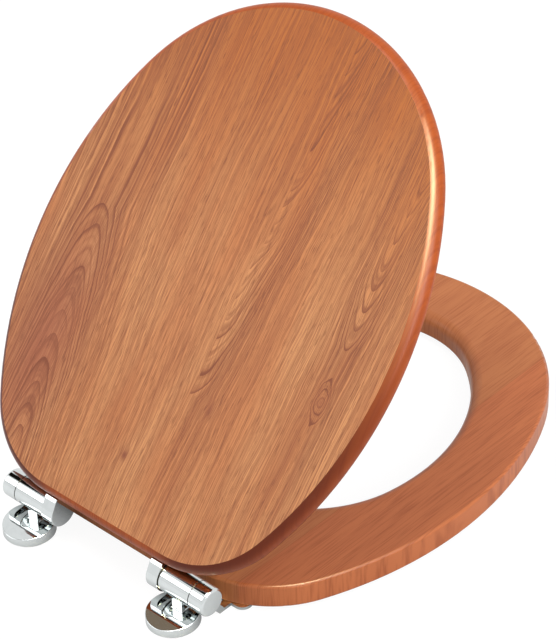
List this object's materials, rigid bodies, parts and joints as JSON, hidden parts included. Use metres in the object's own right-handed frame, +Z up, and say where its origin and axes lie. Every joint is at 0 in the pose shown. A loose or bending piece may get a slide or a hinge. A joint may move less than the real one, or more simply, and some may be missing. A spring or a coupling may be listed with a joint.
{
  "type": "toilet seat",
  "caption": "Oval wood-effect toilet seat: rounded lid and open ring on chromed barrel hinges with soft-close dampers, each hinge on a round base disc that bolts to the pan.",
  "frame": {"origin": "midway between the two pan fixings, on the plane of the pan's top face", "axes": "+X to the right of someone facing the seat, +Y to the back (the ring runs to -Y), +Z up"},
  "size_m": [0.3572, 0.4633, 0.3589],
  "materials": {
    "lid_wood": "gloss",
    "ring_wood": "gloss",
    "chrome": "polished",
    "zinc_steel": "satin",
    "damper_plastic": "matte",
    "black_nylon": "matte",
    "gasket_rubber": "matte",
    "bumper_rubber": "matte"
  },
  "bodies": {
    "base": {"base_disc_left": "chrome", "base_gasket_left": "gasket_rubber", "hinge_post_left": "chrome", "damper_left": "damper_plastic", "pivot_pin_left": "zinc_steel", "thrust_washers_left": "black_nylon", "base_disc_right": "chrome", "base_gasket_right": "gasket_rubber", "hinge_post_right": "chrome", "damper_right": "damper_plastic", "pivot_pin_right": "zinc_steel", "thrust_washers_right": "black_nylon"},
    "ring": {"seat_ring": "ring_wood", "ring_bumpers": "bumper_rubber", "damper_shaft_left": "zinc_steel", "ring_bracket_left": "chrome", "ring_screws_left": "zinc_steel", "ring_bracket_right": "chrome", "ring_screws_right": "zinc_steel"},
    "lid": {"lid": "lid_wood", "lid_bumpers": "bumper_rubber", "damper_shaft_right": "zinc_steel", "lid_bracket_left": "chrome", "lid_screws_left": "zinc_steel", "lid_bracket_right": "chrome", "lid_screws_right": "zinc_steel"}
  },
  "joints": [
    {"name": "ring_hinge", "type": "hinge", "parent": "base", "child": "ring", "pos_m": [0, -0.0124, 0.0255], "axis": [-1, 0, 0], "range_deg": [0, 78]},
    {"name": "lid_hinge", "type": "hinge", "parent": "ring", "child": "lid", "pos_m": [0, -0.0124, 0.0255], "axis": [-1, 0, 0], "range_deg": [-48.6, 34]}
  ]
}
